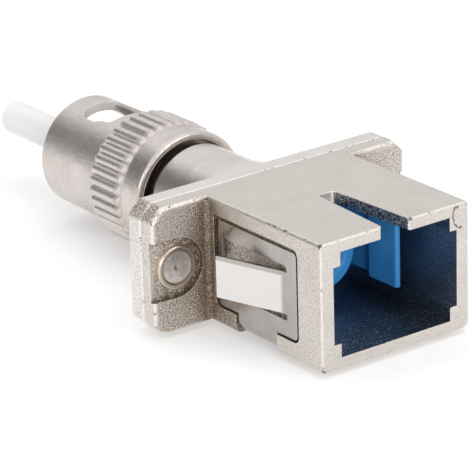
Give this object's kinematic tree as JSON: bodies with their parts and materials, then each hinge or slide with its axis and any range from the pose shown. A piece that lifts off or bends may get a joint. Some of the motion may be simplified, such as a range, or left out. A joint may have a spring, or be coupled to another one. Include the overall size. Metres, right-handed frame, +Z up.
{
  "type": "st to sc fibre adapter",
  "caption": "Metal fibre adapter that joins a bayonet plug with a long ceramic ferrule to a square push-pull socket, with a riveted flange and a spring panel clip.",
  "frame": {"origin": "on the optical axis, in the plane of the flange face that meets a panel", "axes": "+X along the optical axis towards the square socket's mouth, +Y across the flange, +Z up towards the key slot"},
  "size_m": [0.046, 0.022, 0.0098],
  "materials": {
    "die_cast_nickel": "satin nickel plating over a fine-grained die casting",
    "turned_nickel": "satin nickel plating over turned brass",
    "rivet_metal": "worn nickel over brass",
    "spring_stainless": "smooth rolled stainless sheet",
    "blue_plastic": "moulded, slightly glossy",
    "white_ceramic": "ground and polished zirconia",
    "clear_glass": "drawn glass fibre",
    "spring_steel": "drawn wire and rolled sheet"
  },
  "bodies": {
    "adapter_body": {"sc_housing": "die_cast_nickel", "rear_flange": "die_cast_nickel", "flange_rivets": "rivet_metal", "panel_clip": "spring_stainless", "latch_cradle": "blue_plastic", "sleeve_retainer": "blue_plastic", "split_sleeve": "white_ceramic", "sc_ferrule": "white_ceramic", "st_ferrule": "white_ceramic", "ferrule_holder": "turned_nickel", "optical_fibre": "clear_glass", "st_barrel": "turned_nickel", "key_pin": "turned_nickel", "nut_spring": "spring_steel", "stop_washer": "spring_steel", "retaining_ring": "spring_steel"},
    "spring_seat": {"thrust_washer": "spring_steel"},
    "coupling_nut": {"bayonet_nut": "die_cast_nickel"}
  },
  "joints": [
    {"name": "nut_slide", "type": "slide", "parent": "adapter_body", "child": "spring_seat", "axis": [-1, 0, 0], "range_m": [0, 0.0014], "stiffness_N_per_m": 1500, "springref_m": -0.001, "deforming": ["nut_spring"]},
    {"name": "nut_turn", "type": "hinge", "parent": "spring_seat", "child": "coupling_nut", "pos_m": [-0.017, 0, 0], "axis": [1, 0, 0], "continuous": true}
  ]
}
